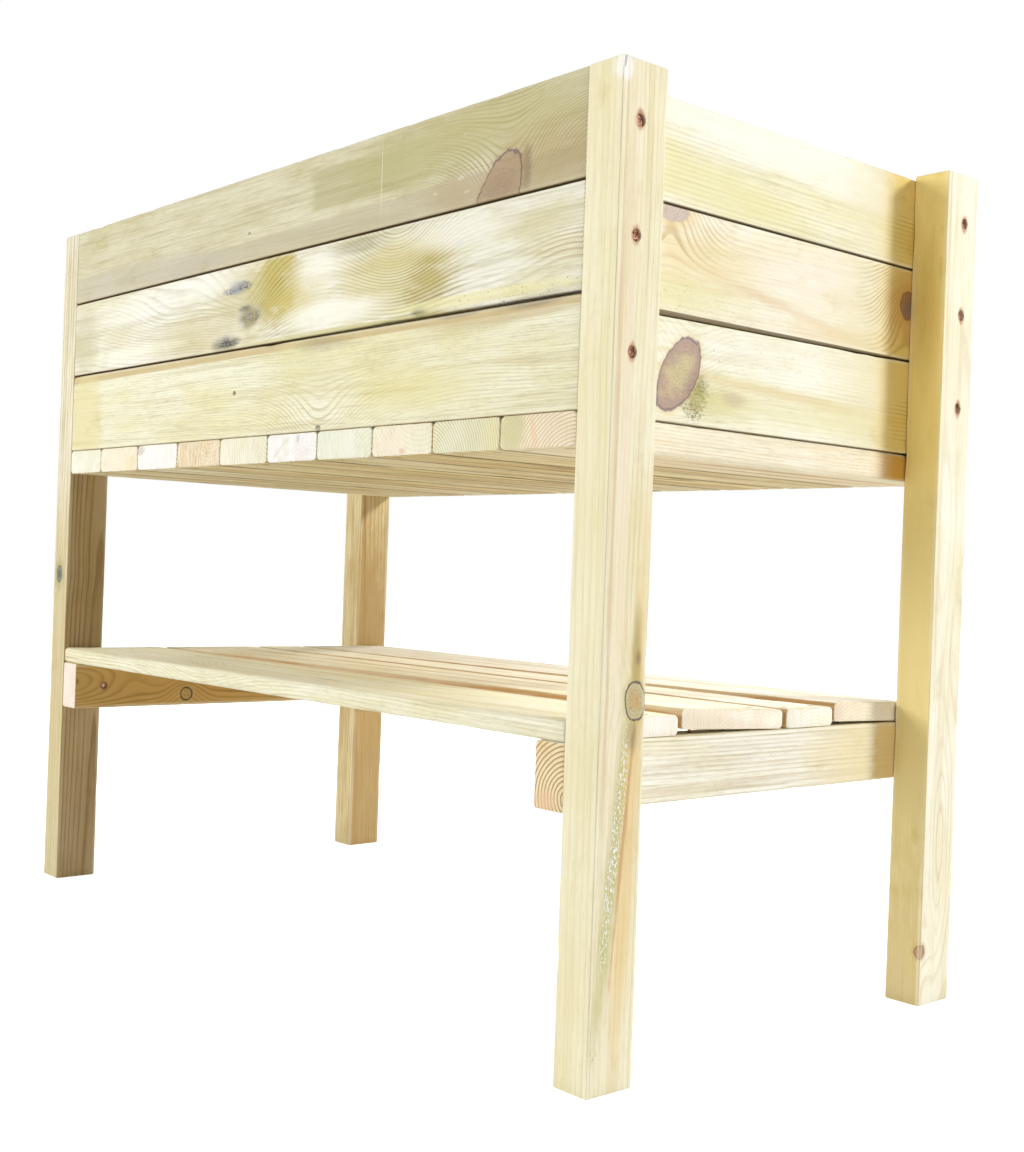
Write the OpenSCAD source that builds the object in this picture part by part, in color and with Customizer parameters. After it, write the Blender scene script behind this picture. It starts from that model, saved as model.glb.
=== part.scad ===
// Raised planter: a plank box on four posts, with a low slatted shelf.
// Origin at the middle of the footprint on the ground; +X along the box,
// -Y to the front, +Z up. Every piece of timber is a separate solid.

/* [Posts] */
// Height of the four posts
post_h = 800; // [700:5:950]
// Post size along the box
post_t = 38; // [34:1:60]
// Post size across the box
post_w = 50; // [44:1:70]

/* [Box] */
// Clear length between the left and right posts
box_l = 910; // [700:5:1200]
// Overall depth, front face to back face
depth = 490; // [400:5:600]
// Thickness of the side planks and the bottom boards
plank_t = 28; // [25:1:32]
// Drop from the post tops to the top of the end planks
top_drop = 3; // [0:1:10]
// Gap between one plank and the next
plank_gap = 1; // [0.5:0.5:3]

/* [Shelf] */
// Height of the top of the shelf bearers
bearer_top = 269; // [150:1:350]
// Bearer height
bearer_h = 55; // [45:1:70]
// Bearer thickness
bearer_t = 34; // [34:1:45]
// Shelf board thickness
shelf_t = 18; // [15:1:24]
// Gap between a shelf board's end and the post
shelf_end_gap = 1.5; // [0.5:0.5:4]

/* [Edges] */
// Rounding of the post arrises
post_r = 1.5; // [1:0.5:6]
// Rounding of the bearer arrises
bearer_r = 3; // [1:0.5:6]
// Rounding of the plank arrises
plank_r = 4; // [1:0.5:8]
// Rounding of the bottom board arrises
bottom_r = 5; // [1:0.5:8]
// Rounding of the shelf board arrises
shelf_r = 5; // [1:0.5:7]

/* [Screws] */
// Distance of the post screws from the front or back face
post_screw_in = 21; // [16:1:22]
// How far every screw head is sunk below the wood
sink = 2; // [1:0.5:3]

/* [Hidden] */
LEVELS = ["bottom", "middle", "top"];
$fn = 48;

// Sawn heights of the three end planks, from the bottom up
PLANK_H = [90, 88, 87];
// The long planks are sawn a little higher and end flush with the post tops
LONG_H = [92, 88, 88];
// Sawn widths of the ten bottom boards, left to right, as shares of the length:
// the first one is ripped narrower to fill the row
BOTTOM_W = [82, 94, 93, 93, 94, 90, 91, 90, 91, 92];
BOTTOM_GAP = 1;
// Shelf board widths and the gaps between them, from the front to the back:
// the third board is ripped to half width
SHELF_W = [132, 134, 68, 134];
SHELF_GAPS = [0, 4, 5, 2];

half_l = box_l / 2;
half_d = depth / 2;
inner_d = depth - 2 * plank_t;
side_top = post_h - top_drop;
side_base = side_top - sum(PLANK_H, 2) - 2 * plank_gap;
bottom_z = side_base - plank_t;
shelf_z = bearer_top;
shelf_l = box_l - 2 * shelf_end_gap;
bottom_scale = box_l / sum(BOTTOM_W, 9);
shelf_scale = depth / 490;

// Screws: [shank diameter, length, head diameter]
POST_SCREW = [5, 80, 9.6];
END_SCREW = [4.5, 50, 8.8];
BOTTOM_SCREW = [4.5, 60, 8.8];
BEARER_SCREW = [5, 60, 9.6];
SHELF_SCREW = [4, 35, 7.6];
bottom_screw_pitch = 50;
bearer_screw_in = 38;
shelf_screw_share = 0.3;

// Sum of the list's items 0 to n
function sum(list, n) = n < 0 ? 0 : list[n] + sum(list, n - 1);
function plank_z(i) = side_base + sum(PLANK_H, i - 1) + i * plank_gap;
function plank_mid(i) = plank_z(i) + PLANK_H[i] / 2;
function long_z(i) = side_base + sum(LONG_H, i - 1) + i * plank_gap;
function bottom_x(i) = -half_l + sum(BOTTOM_W, i - 1) * bottom_scale + BOTTOM_GAP / 2;
function bottom_w(i) = BOTTOM_W[i] * bottom_scale - BOTTOM_GAP;
function shelf_y(i) = -half_d + (sum(SHELF_W, i - 1) + sum(SHELF_GAPS, i)) * shelf_scale;
function shelf_w(i) = SHELF_W[i] * shelf_scale;

// Rectangle w by h from the origin, with round corners
module round_rect(w, h, r) {
    translate([r, 0]) square([w - 2 * r, h]);
    translate([0, r]) square([w, h - 2 * r]);
    for (x = [r, w - r], y = [r, h - r]) translate([x, y]) circle(r);
}

// Timber lying along X, Y or Z, from its lowest corner
module timber_x(l, w, h, r) {
    rotate([90, 0, 90]) linear_extrude(l) round_rect(w, h, r);
}

module timber_y(l, w, h, r) {
    translate([0, l, 0]) rotate([90, 0, 0]) linear_extrude(l) round_rect(w, h, r);
}

module timber_z(l, w, h, r) {
    linear_extrude(l) round_rect(w, h, r);
}

// Countersunk wood screw pointing down: the top of its head is at the origin
module screw_solid(s) {
    head_h = (s[2] - s[0]) / 2;
    rim = 0.6;
    tip = s[0] * 1.2;
    translate([0, 0, -rim]) cylinder(h = rim, d = s[2]);
    translate([0, 0, -rim - head_h]) cylinder(h = head_h, d1 = s[0], d2 = s[2]);
    translate([0, 0, -s[1] + tip]) cylinder(h = s[1] - tip - rim - head_h, d = s[0]);
    translate([0, 0, -s[1]]) cylinder(h = tip, d1 = 0.8, d2 = s[0]);
}

// The hole for that screw, open to the wood's surface
module screw_hole(s) {
    screw_solid(s);
    translate([0, 0, -0.01]) cylinder(h = sink + 1, d = s[2]);
}

// Places for each kind of screw; the children point down at the origin
module at_post_screws() {
    for (sx = [-1, 1], sy = [-1, 1], i = [0 : 2])
        translate([sx * (half_l + post_t - sink), sy * (half_d - post_screw_in), plank_mid(i)])
            rotate([0, sx * 90, 0]) children();
}

module at_end_screws() {
    y = (half_d - post_w + inner_d / 2) / 2;
    for (sx = [-1, 1], sy = [-1, 1], i = [0 : 2])
        translate([sx * (half_l - plank_t + sink), sy * y, plank_mid(i)])
            rotate([0, -sx * 90, 0]) children();
}

module at_bottom_screws() {
    for (sy = [-1, 1], i = [0 : 9], side = [-1, 1])
        translate([bottom_x(i) + bottom_w(i) / 2 + side * bottom_screw_pitch / 2,
                   sy * (half_d - plank_t / 2), bottom_z + sink])
            rotate([180, 0, 0]) children();
}

module at_bearer_screws() {
    for (sx = [-1, 1], sy = [-1, 1])
        translate([sx * (half_l - bearer_t + sink), sy * (half_d - bearer_screw_in),
                   bearer_top - bearer_h / 2])
            rotate([0, -sx * 90, 0]) children();
}

module at_shelf_screws() {
    for (sx = [-1, 1], i = [0 : 3], side = [-1, 1])
        translate([sx * (half_l - bearer_t / 2),
                   shelf_y(i) + shelf_w(i) * (0.5 + side * shelf_screw_share),
                   shelf_z + shelf_t - sink])
            children();
}

// A corner post; side_x and side_y are -1 or 1
module post(side_x, side_y) {
    color("khaki") difference() {
        translate([side_x > 0 ? half_l : -half_l - post_t, side_y > 0 ? half_d - post_w : -half_d, 0])
            timber_z(post_h, post_t, post_w, post_r);
        at_post_screws() screw_hole(POST_SCREW);
        at_end_screws() screw_hole(END_SCREW);
        at_bearer_screws() screw_hole(BEARER_SCREW);
    }
}

// A plank of the front or back, numbered from the bottom
module long_plank(i, side_y) {
    color("palegoldenrod") difference() {
        translate([-half_l, side_y > 0 ? half_d - plank_t : -half_d, long_z(i)])
            timber_x(box_l, plank_t, LONG_H[i], plank_r);
        at_post_screws() screw_hole(POST_SCREW);
        at_bottom_screws() screw_hole(BOTTOM_SCREW);
    }
}

// A plank of the left or right end, between the long planks
module end_plank(i, side_x) {
    color("lemonchiffon") difference() {
        translate([side_x > 0 ? half_l - plank_t : -half_l, -inner_d / 2, plank_z(i)])
            timber_y(inner_d, plank_t, PLANK_H[i], plank_r);
        at_end_screws() screw_hole(END_SCREW);
    }
}

// A board of the box's bottom, numbered from the left
module bottom_board(i) {
    color("wheat") difference() {
        translate([bottom_x(i), -half_d, bottom_z])
            timber_y(depth, bottom_w(i), plank_t, bottom_r);
        at_bottom_screws() screw_hole(BOTTOM_SCREW);
    }
}

// The bearer under one end of the shelf
module bearer(side_x) {
    color("burlywood") difference() {
        translate([side_x > 0 ? half_l - bearer_t : -half_l, -half_d, bearer_top - bearer_h])
            timber_y(depth, bearer_t, bearer_h, bearer_r);
        at_bearer_screws() screw_hole(BEARER_SCREW);
        at_shelf_screws() screw_hole(SHELF_SCREW);
    }
}

// A shelf board, numbered from the front
module shelf_board(i) {
    color("cornsilk") difference() {
        translate([-shelf_l / 2, shelf_y(i), shelf_z])
            timber_x(shelf_l, shelf_w(i), shelf_t, shelf_r);
        at_shelf_screws() screw_hole(SHELF_SCREW);
    }
}

module post_screws() {
    color("peru") at_post_screws() screw_solid(POST_SCREW);
}

module end_screws() {
    color("peru") at_end_screws() screw_solid(END_SCREW);
}

module bottom_screws() {
    color("peru") at_bottom_screws() screw_solid(BOTTOM_SCREW);
}

module bearer_screws() {
    color("peru") at_bearer_screws() screw_solid(BEARER_SCREW);
}

module shelf_screws() {
    color("peru") at_shelf_screws() screw_solid(SHELF_SCREW);
}

post(-1, -1);  // post_front_left
post(1, -1);  // post_front_right
post(-1, 1);  // post_back_left
post(1, 1);  // post_back_right
for (i = [0 : 2]) {
    long_plank(i, -1);
    long_plank(i, 1);
    end_plank(i, -1);
    end_plank(i, 1);
}
for (i = [0 : 9]) {
    bottom_board(i);
}
bearer(-1);  // bearer_left
bearer(1);  // bearer_right
for (i = [0 : 3]) {
    shelf_board(i);
}
post_screws();
end_screws();
bottom_screws();
bearer_screws();
shelf_screws();
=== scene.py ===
import math
import random

import bmesh
import bpy
from mathutils import Matrix, Vector


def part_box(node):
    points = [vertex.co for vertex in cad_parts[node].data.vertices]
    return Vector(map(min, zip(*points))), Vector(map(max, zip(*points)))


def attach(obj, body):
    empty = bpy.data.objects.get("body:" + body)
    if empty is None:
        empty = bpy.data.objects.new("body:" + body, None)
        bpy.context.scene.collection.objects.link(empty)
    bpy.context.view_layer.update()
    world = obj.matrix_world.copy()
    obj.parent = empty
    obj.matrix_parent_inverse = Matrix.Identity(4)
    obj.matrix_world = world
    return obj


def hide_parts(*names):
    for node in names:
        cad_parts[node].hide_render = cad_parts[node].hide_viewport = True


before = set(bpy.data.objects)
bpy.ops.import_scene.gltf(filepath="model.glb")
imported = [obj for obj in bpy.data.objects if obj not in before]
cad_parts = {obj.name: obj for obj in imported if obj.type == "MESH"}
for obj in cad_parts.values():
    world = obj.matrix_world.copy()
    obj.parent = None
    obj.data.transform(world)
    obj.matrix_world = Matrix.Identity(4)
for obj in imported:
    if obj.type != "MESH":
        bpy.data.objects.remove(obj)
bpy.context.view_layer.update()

MM = 0.001

# ---------------------------------------------------------------- colours (sRGB)
CREAM = "#faf5de"
PALE = "#f6f0d0"
YELLOW = "#eee4ac"
GREENISH = "#ded9a8"
LATE = "#d6c48a"
LATE_TAN = "#c4a46c"
WHITE = "#fdfbf3"
KNOT_PINK = "#be9e86"
KNOT_BROWN = "#967054"
RIM = "#704e42"
# Seams: grime in the joints and painted shade in the gaps between boards
SEAM_GRIME_AND_SHADE = "#68522c"
# Colour of the painted shadow beside the back right post
SHADED = "#e6c45e"
DARK_FIBRE = (0.32, 0.25, 0.10, 1.0)
DARK_GRAIN = (0.34, 0.27, 0.12, 1.0)


def rgb(colour):
    """An sRGB colour as the linear RGBA that a shader takes."""
    parts = [int(colour[i:i + 2], 16) / 255 for i in (1, 3, 5)]
    return (*[v / 12.92 if v <= 0.04045 else ((v + 0.055) / 1.055) ** 2.4 for v in parts], 1.0)


# ---------------------------------------------------------------- shader graph helper
class Graph:
    """Adds nodes to a node tree. A value is a socket, a number or a tuple."""

    def __init__(self, tree):
        self.tree = tree

    def node(self, kind, inputs, **props):
        made = self.tree.nodes.new(kind)
        for key, value in props.items():
            setattr(made, key, value)
        for key, value in inputs.items():
            if isinstance(value, bpy.types.NodeSocket):
                self.tree.links.new(value, made.inputs[key])
            else:
                made.inputs[key].default_value = value
        return made

    def math(self, op, *values, clamp=False):
        made = self.node("ShaderNodeMath", dict(enumerate(values)), operation=op, use_clamp=clamp)
        return made.outputs[0]

    def add(self, a, b):
        return self.math("ADD", a, b)

    def sub(self, a, b):
        return self.math("SUBTRACT", a, b)

    def mul(self, a, b):
        return self.math("MULTIPLY", a, b)

    def mul_add(self, a, b, c):
        return self.math("MULTIPLY_ADD", a, b, c)

    def size_of(self, value):
        return self.math("ABSOLUTE", value)

    def bell(self, value):
        """1 at 0, falling smoothly to 0 on both sides."""
        return self.math("EXPONENT", self.mul(self.mul(value, value), -1.0))

    def vec(self, op, *values):
        made = self.node("ShaderNodeVectorMath", dict(enumerate(values)), operation=op)
        return made.outputs[1 if op in ("DOT_PRODUCT", "LENGTH") else 0]

    def xyz(self, x, y, z):
        return self.node("ShaderNodeCombineXYZ", {0: x, 1: y, 2: z}).outputs[0]

    def smooth(self, value, lo, hi, to_lo=0.0, to_hi=1.0):
        """Goes smoothly from to_lo at lo to to_hi at hi; lo may be above hi."""
        if lo > hi:
            lo, hi, to_lo, to_hi = hi, lo, to_hi, to_lo
        inputs = {0: value, 1: lo, 2: hi, 3: to_lo, 4: to_hi}
        return self.node("ShaderNodeMapRange", inputs, interpolation_type="SMOOTHSTEP").outputs[0]

    def mix(self, fac, a, b, blend="MIX"):
        made = self.node("ShaderNodeMix", {0: fac, 6: a, 7: b}, data_type="RGBA", blend_type=blend)
        return made.outputs[2]

    def noise(self, vector, detail=2.0, rough=0.5):
        inputs = {"Vector": vector, "Scale": 1.0, "Detail": detail, "Roughness": rough}
        return self.node("ShaderNodeTexNoise", inputs).outputs[0]

    def scaled(self, vector, scale):
        return self.node("ShaderNodeVectorMath", {0: vector, "Scale": scale}, operation="SCALE").outputs[0]

    def centred_noise(self, vector, size, detail=2.0):
        """Noise from about -size to size."""
        return self.mul(self.sub(self.noise(vector, detail), 0.5), 2 * size)


def new_material(name):
    """An empty node material and its graph."""
    material = bpy.data.materials.new(name)
    material.use_nodes = True
    material.node_tree.nodes.clear()
    return material, Graph(material.node_tree)


def spot(g, u, v, mark, depth=None):
    """Distance from a mark's centre on a board's face, in its radii: 1 on its outline.

    depth: distance below the face, for a mark that doesn't go through the board."""
    turn = math.radians(mark.get("tilt", 0))
    c, s = math.cos(turn), math.sin(turn)
    ru, rv = mark["size"]
    du = g.sub(u, mark["at"][0])
    dv = g.sub(v, mark["at"][1])
    along = g.add(g.mul(du, c / ru), g.mul(dv, s / ru))
    across = g.sub(g.mul(dv, c / rv), g.mul(du, s / rv))
    if mark.get("square"):
        return g.math("MAXIMUM", g.size_of(along), g.size_of(across))
    deep = g.mul(depth, 1 / mark["depth"]) if "depth" in mark else 0.0
    return g.vec("LENGTH", g.xyz(along, across, deep))


# ---------------------------------------------------------------- pine
class Wood:
    """The shader values of one board: coordinates in mm, with colour and relief built up on them.

    board: centre (m), axes (grain, width, face) and half sizes (mm). its: the board's look."""

    def __init__(self, g, board, its):
        self.g, self.its, self.seed, self.half = g, its, its["seed"], board["half"]
        place = g.node("ShaderNodeTexCoord", {}).outputs["Object"]
        local = g.vec("SUBTRACT", place, tuple(board["centre"]))
        axes = [tuple(a) for a in board["axes"]]
        self.x, self.y, self.z = (g.mul(g.vec("DOT_PRODUCT", local, a), 1 / MM) for a in axes)
        self.faces = {}
        self.crumbs = g.noise(self.stretched(3.2, 1.6, 1.1), 2, 0.7)

    def stretched(self, along, across, offset=0.0):
        """Coordinates for noise that is longer along the grain."""
        g = self.g
        return g.xyz(g.mul_add(self.x, 1 / along, offset), g.mul_add(self.y, 1 / across, self.seed),
                     g.mul(self.z, 1 / across))

    def blurred(self, size):
        """Coordinates for noise that is as long as wide."""
        return self.g.xyz(self.g.mul(self.x, 1 / size), self.g.mul(self.y, 1 / size), self.seed)

    def face(self, mark):
        """Coordinates on a mark's face, the depth below it and a mask of it."""
        which = mark.get("face", "front")
        if which not in self.faces:
            g = self.g
            if which in ("front", "back"):
                value, half, other = self.z, self.half[2], self.y
            else:
                value, half, other = self.y, self.half[1], self.z
            sign = 1 if which in ("front", "up") else -1
            near, at = (0.2 * half, 0.75 * half) if which == "front" else (half - 2.0, half - 0.8)
            mask = g.smooth(value, sign * near, sign * at)
            self.faces[which] = (self.x, other, g.sub(value, sign * half), mask)
        return self.faces[which]

    def paint(self, mask, colour, blend="MIX"):
        over = colour if isinstance(colour, tuple) else rgb(colour)
        self.colour = self.g.mix(mask, self.colour, over, blend)

    # -- rings
    def grow_rings(self):
        """Rings round the pith, which wander and pass round the knots."""
        g, its = self.g, self.its
        wander = g.add(g.centred_noise(self.stretched(its["wave"], 90), its["wander"], 1),
                       g.centred_noise(self.stretched(150, 26, self.seed), 1.1, 3))
        radius = g.vec("LENGTH", g.xyz(0.0, g.sub(self.y, its["pith"][0]), g.sub(self.z, its["pith"][1])))
        radius = g.mul_add(self.x, its["taper"], g.add(radius, wander))
        for mark in its["swells"]:
            u, v, depth, _ = self.face(mark)
            radius = g.mul_add(g.bell(spot(g, u, v, mark, depth)), mark["push"], radius)
        radius = self.grow_knots(radius)
        # The wood darkens slowly towards the late wood, and starts pale again at once
        turn = g.math("FRACT", g.mul(radius, 1 / its["ring"]))
        self.every = g.mul(g.smooth(turn, its["sharp"], 0.86), g.smooth(turn, 1.0, 0.9))
        ring_band = g.noise(g.xyz(g.mul(radius, 1 / (2.3 * its["ring"])), self.seed, 0.0), 1)
        late = g.mul(self.every, g.smooth(ring_band, 0.25, 0.7, 0.3, 1.0))
        faint = g.noise(self.stretched(120, 30, 3.3), 2)
        self.late = g.mul(late, g.smooth(faint, 0.3, 0.6, 0.45, 1.0))

    def grow_knots(self, radius):
        """Keeps each knot with the distance from it, and pushes the rings aside."""
        g = self.g
        edge_noise = g.centred_noise(self.blurred(7), 0.2, 3)
        self.knots = []
        for mark in self.its["knots"]:
            u, v, depth, _ = self.face(mark)
            d = spot(g, u, v, mark, depth)
            push = g.bell(g.mul(d, 1 / mark.get("reach", 2.4)))
            radius = g.mul_add(push, mark.get("push", 1.6) * max(mark["size"]), radius)
            lobes = g.xyz(g.mul(u, 1 / mark["size"][0]), g.mul(v, 1 / mark["size"][1]), self.seed)
            d = g.add(d, g.centred_noise(lobes, mark.get("wobble", 0.18), 2))
            self.knots.append((mark, g.mul_add(edge_noise, 0.5, d)))
        return radius

    # -- colour, from the bare wood outwards
    def lay_fibres(self):
        """Slow changes of tone, streaks, rings, fine fibres and resin ducts."""
        g, its = self.g, self.its
        self.fibre = g.noise(self.stretched(46, 0.95), 3, 0.65)
        self.streak = g.noise(self.stretched(240, 8), 3, 0.55)
        cloud = g.noise(self.stretched(130, 45, self.seed * 2.3), 3, 0.6)
        rough_grain = g.noise(self.stretched(13, 2.1, 6.2), 3, 0.6)
        self.colour = g.mix(g.smooth(cloud, 0.35, 0.68), rgb(its["light"]), rgb(its["tint"]))
        self.paint(g.smooth(self.streak, 0.45, 0.72, 0.0, its["streaks"]), its["late"])
        self.paint(g.mul(self.late, its["contrast"]), its["late"])
        self.paint(g.smooth(self.fibre, 0.3, 0.5, 0.3 * its["hairs"], 0.0), DARK_FIBRE)
        self.paint(g.smooth(self.fibre, 0.52, 0.72, 0.0, 0.25 * its["hairs"]), WHITE)
        self.paint(g.smooth(rough_grain, 0.28, 0.5, 0.16 * its["hairs"], 0.0), DARK_GRAIN)
        cell = self.stretched(11, 2.1)
        duct = g.node("ShaderNodeTexVoronoi", {"Vector": cell, "Scale": 1.0, "Randomness": 1.0})
        rare = g.smooth(g.noise(g.vec("MULTIPLY", cell, (0.22, 0.12, 0.12)), 1), 0.50, 0.66)
        self.ducts = g.mul(g.smooth(duct.outputs["Distance"], 0.22, 0.06), rare)
        self.paint(g.mul(self.ducts, its["specks"]), "#968658")
        self.relief = g.mul(self.late, 0.35)

    def stain(self):
        """Stained or bleached patches, and patches of painted shade and shadow; a kind breaks a patch up into
        rings, dots or crumbs.
        """
        g = self.g
        ragged = g.centred_noise(self.stretched(22, 8, 7.7), 0.35, 4)
        dots = g.smooth(g.noise(self.stretched(3.4, 1.7, 9.1), 2, 0.7), 0.59, 0.72)
        dots = g.mul(dots, g.smooth(g.noise(self.stretched(16, 7, 4.4), 2), 0.42, 0.62))
        kinds = {"dots": dots, "rings": self.late, "smudge": g.smooth(self.crumbs, 0.42, 0.56, 0.2, 1.0),
                 "flecks": g.smooth(self.crumbs, 0.5, 0.6)}
        for mark in self.its["patches"]:
            u, v, depth, on_face = self.face(mark)
            d = g.mul_add(ragged, mark.get("ragged", 1.0), spot(g, u, v, mark, depth))
            soft = mark.get("soft", 0.3)
            mask = g.mul(g.smooth(d, 1.0 + soft, 1.0 - soft, 0.0, mark["amount"]), on_face)
            if "fade" in mark:
                mask = g.mul(mask, g.smooth(u, *mark["fade"]))
            if "kind" in mark:
                mask = g.mul(mask, kinds[mark["kind"]])
            if mark.get("kind") == "flecks":
                self.relief = g.mul_add(mask, 1.5, self.relief)
            self.paint(mask, mark["colour"])

    def draw_knots(self):
        """Knots have rings of their own, a glow round them and a dark outline."""
        g = self.g
        self.gloss = 0.0
        blots = g.noise(self.blurred(11), 3, 0.6)
        for mark, d in self.knots:
            rim, solid, outline = mark.get("rim", RIM), mark.get("solid", 1.0), mark.get("outline", 0.8)
            inside = g.smooth(d, 1.04, 0.93)
            own = g.math("FRACT", g.mul(d, max(2.0, min(mark["size"]) / 2.2)))
            outer = g.mul_add(blots, 1.1, d)
            colour = mark["colour"]
            heart = g.mix(g.smooth(outer, 0.85, 1.45), rgb(mark.get("heart", colour)), rgb(colour))
            heart = g.mix(g.mul(g.math("POWER", own, 3.0), 0.28), heart, rgb(rim))
            heart = g.mix(g.smooth(self.crumbs, 0.5, 0.68, 0.0, 0.3), heart, rgb(rim))
            self.paint(g.smooth(d, mark.get("glow", 1.9), 0.95, 0.0, mark.get("halo_amount", 0.5)),
                       mark.get("halo", LATE_TAN))
            self.colour = g.mix(g.mul(inside, solid), self.colour, heart)
            thin = mark.get("line", 0.1)
            line = g.mul(g.smooth(d, 1 - thin, 0.98), g.smooth(d, 1 + thin, 1.0))
            line = g.mul(line, g.smooth(self.crumbs, 0.25, 0.5, 0.45, 1.0))
            self.paint(g.mul(line, outline), rim)
            self.relief = g.sub(self.relief, g.mul(line, outline))
            self.gloss = g.mul_add(inside, solid, self.gloss)

    def saw_ends(self):
        """End grain: its own tint over the ring arcs, saw marks and stains."""
        g, its, x, y, z = self.g, self.its, self.x, self.y, self.z
        self.at_end = g.smooth(g.size_of(x), self.half[0] - 0.9, self.half[0] - 0.3)
        tint = g.noise(g.xyz(self.seed, g.mul(y, 1 / 26), g.mul(z, 1 / 26)), 3)
        end = g.mix(g.smooth(tint, 0.4, 0.62), rgb(its["end"]), rgb(its["end_tint"]))
        end = g.mix(g.mul(self.every, its["end_contrast"]), end, rgb(its["end_late"]))
        slant = g.mul_add(y, 1 / 30, g.mul(z, 1 / 14))
        self.saw = g.noise(g.xyz(g.mul(y, 1 / 1.6), slant, self.seed), 3, 0.6)
        end = g.mix(g.smooth(self.saw, 0.42, 0.72, 0.0, its["saw"]), end, rgb(its["saw_colour"]))
        ragged = g.centred_noise(g.xyz(self.seed, g.mul(y, 1 / 6), g.mul(z, 1 / 6)), 0.5, 3)
        for mark in its["end_marks"]:
            d = g.add(spot(g, y, z, mark), ragged)
            soft = mark.get("soft", 0.4)
            end = g.mix(g.smooth(d, 1 + soft, 1 - soft, 0.0, mark["amount"]), end, rgb(mark["colour"]))
        self.colour = g.mix(self.at_end, self.colour, end)

    def wear(self):
        """Worn arrises, slightly bleached, and grime and painted shade in the joints between boards."""
        g, its, half_y = self.g, self.its, self.half[1]
        to_corner = g.add(g.sub(half_y, g.size_of(self.y)), g.sub(self.half[2], g.size_of(self.z)))
        rub = g.mul(g.smooth(to_corner, 5.0, 2.0), g.smooth(self.streak, 0.35, 0.6))
        self.paint(g.mul(rub, 0.35), its["rub"])
        # Dark long edges: grime, and painted shade in the gap to the next board
        for amount, sign in zip(its["seams"], (-1, 1)):
            if amount:
                mask = g.smooth(self.y, sign * (half_y - its["seam"]), sign * (half_y - 0.35), 0.0, amount)
                off_end = g.smooth(g.size_of(self.x), self.half[0], self.half[0] - its["clean"])
                self.paint(g.mul(mask, off_end), SEAM_GRIME_AND_SHADE)
        grime = g.noise(self.stretched(60, 30, 5.5), 5, 0.7)
        self.paint(g.smooth(grime, 0.54, 0.74, 0.0, its["grime"]), GREENISH, "MULTIPLY")

    def shader(self):
        """The finished surface, with fine planer chatter across the grain."""
        g = self.g
        rough = g.add(g.smooth(self.fibre, 0.3, 0.7, 0.78, 0.62), g.mul(self.at_end, 0.12))
        rough = g.math("SUBTRACT", rough, g.mul(self.gloss, 0.16), clamp=True)
        chatter = g.math("SINE", g.mul(self.x, 2 * math.pi / 3.4))
        relief = g.mul_add(chatter, 0.05, self.relief)
        relief = g.mul_add(self.fibre, 0.8, relief)
        relief = g.mul_add(self.ducts, -0.5, relief)
        relief = g.mul_add(g.mul(self.at_end, self.saw), -0.7, relief)
        bump = g.node("ShaderNodeBump", {"Height": relief, "Strength": 0.55, "Distance": 0.35 * MM})
        return g.node("ShaderNodeBsdfPrincipled", {
            "Base Color": self.colour, "Roughness": rough, "Normal": bump.outputs[0],
            "IOR": 1.45, "Specular IOR Level": 0.32})


def pine(name, board, its):
    """Planed, pressure-treated pine whose rings run through the board's solid."""
    material, g = new_material(name)
    wood = Wood(g, board, its)
    wood.grow_rings()
    wood.lay_fibres()
    wood.stain()
    wood.draw_knots()
    wood.saw_ends()
    wood.wear()
    g.node("ShaderNodeOutputMaterial", {0: wood.shader().outputs[0]})
    return material


def screw_steel():
    """Brown coated screw steel, brighter where the driver has rubbed it."""
    material, g = new_material("screw_steel")
    place = g.node("ShaderNodeTexCoord", {}).outputs["Object"]
    patina = g.noise(g.scaled(place, 160.0), 2)
    fleck = g.noise(g.scaled(place, 900.0), 4, 0.65)
    colour = g.mix(g.smooth(fleck, 0.35, 0.65), rgb("#784836"), rgb("#c48c74"))
    colour = g.mix(g.smooth(patina, 0.45, 0.75), colour, rgb("#58362c"))
    rough = g.smooth(fleck, 0.3, 0.7, 0.34, 0.58)
    bump = g.node("ShaderNodeBump", {"Height": fleck, "Strength": 0.3, "Distance": 0.1 * MM})
    shader = g.node("ShaderNodeBsdfPrincipled", {
        "Base Color": colour, "Roughness": rough, "Normal": bump.outputs[0], "Metallic": 0.6})
    g.node("ShaderNodeOutputMaterial", {0: shader.outputs[0]})
    return material


# ---------------------------------------------------------------- board meshes
X, Y, Z = Vector((1, 0, 0)), Vector((0, 1, 0)), Vector((0, 0, 1))
# How hollow a planed face is, and by how much that changes along it (mm)
HOLLOWED, HOLLOW_SWING = 0.12, 0.10
# A board's arrises have one nick for so many mm of half its length
NICK_EVERY = 45


def board_frame(node, axes):
    """Centre, axes and half sizes (mm) of a CAD board."""
    lo, hi = (Vector(c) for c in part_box(node))
    half = [abs((hi - lo).dot(a)) / 2 / MM for a in axes]
    return {"centre": (lo + hi) / 2, "axes": axes, "half": half}


def section(half_y, half_z, r, flats=6, steps=5):
    """Closed outline of a board's section, with round corners and points along the flats."""
    corners = [(half_y - r, half_z - r, 0), (r - half_y, half_z - r, 90),
               (r - half_y, r - half_z, 180), (half_y - r, r - half_z, 270)]
    outline = []
    for i, (cy, cz, start) in enumerate(corners):
        for k in range(steps + 1):
            a = math.radians(start + 90 * k / steps)
            outline.append((cy + r * math.cos(a), cz + r * math.sin(a)))
        ny, nz, turn = corners[(i + 1) % 4]
        a, b = outline[-1], (ny + r * math.cos(math.radians(turn)), nz + r * math.sin(math.radians(turn)))
        for k in range(1, flats):
            t = k / flats
            outline.append((a[0] + (b[0] - a[0]) * t, a[1] + (b[1] - a[1]) * t))
    return outline


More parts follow.
